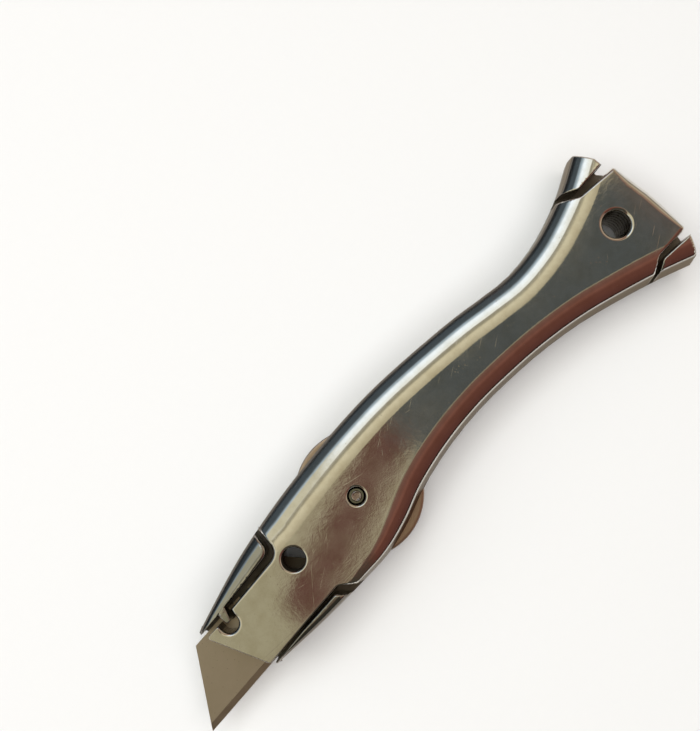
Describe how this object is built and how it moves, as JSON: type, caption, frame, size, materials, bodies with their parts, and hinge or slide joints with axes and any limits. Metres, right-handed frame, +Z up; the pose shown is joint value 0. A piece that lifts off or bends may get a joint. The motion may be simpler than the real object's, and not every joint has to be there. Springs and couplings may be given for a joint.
{
  "type": "utility knife",
  "caption": "Flat cast metal utility knife with a lift-off cover half on a sprung pivot pin, a trapezoid blade hooked in the nose and spare blades in the handle.",
  "frame": {"origin": "under the middle of the closed knife's bounding box, on the flat face it lies on", "axes": "+X along the knife from the blade's tip to the tail, +Y across it to the knife's back, the side away from the cutting edge, +Z up out of the cover"},
  "size_m": [0.1918, 0.0458, 0.0185],
  "materials": {
    "casting_lower": "polished nickel-plated zinc die casting, slightly wavy, worn",
    "casting_upper": "polished nickel-plated zinc die casting, slightly wavy, worn",
    "pin_steel": "turned and riveted bright steel",
    "retainer_steel": "plain steel washer, dulled",
    "spring_steel": "drawn spring wire, oiled",
    "blade_steel": "hardened blade steel, fine ground, tarnished brown-grey with a darker ground bevel",
    "spare_blade_steel": "hardened blade steel, fine ground, clean"
  },
  "bodies": {
    "base": {"lower_shell": "casting_lower", "pivot_pin": "pin_steel", "spring_retainer": "retainer_steel", "pivot_spring": "spring_steel", "working_blade": "blade_steel", "spare_blade_1": "spare_blade_steel", "spare_blade_2": "spare_blade_steel", "spare_blade_3": "spare_blade_steel", "spare_blade_4": "spare_blade_steel", "spare_blade_5": "spare_blade_steel"},
    "cover": {"upper_shell": "casting_upper"}
  },
  "joints": [
    {"name": "cover_lift", "type": "slide", "parent": "base", "child": "cover", "axis": [0, 0, 1], "range_m": [0, 0.0093], "stiffness_N_per_m": 2250, "springref_m": -0.004, "deforming": ["pivot_spring"]}
  ]
}
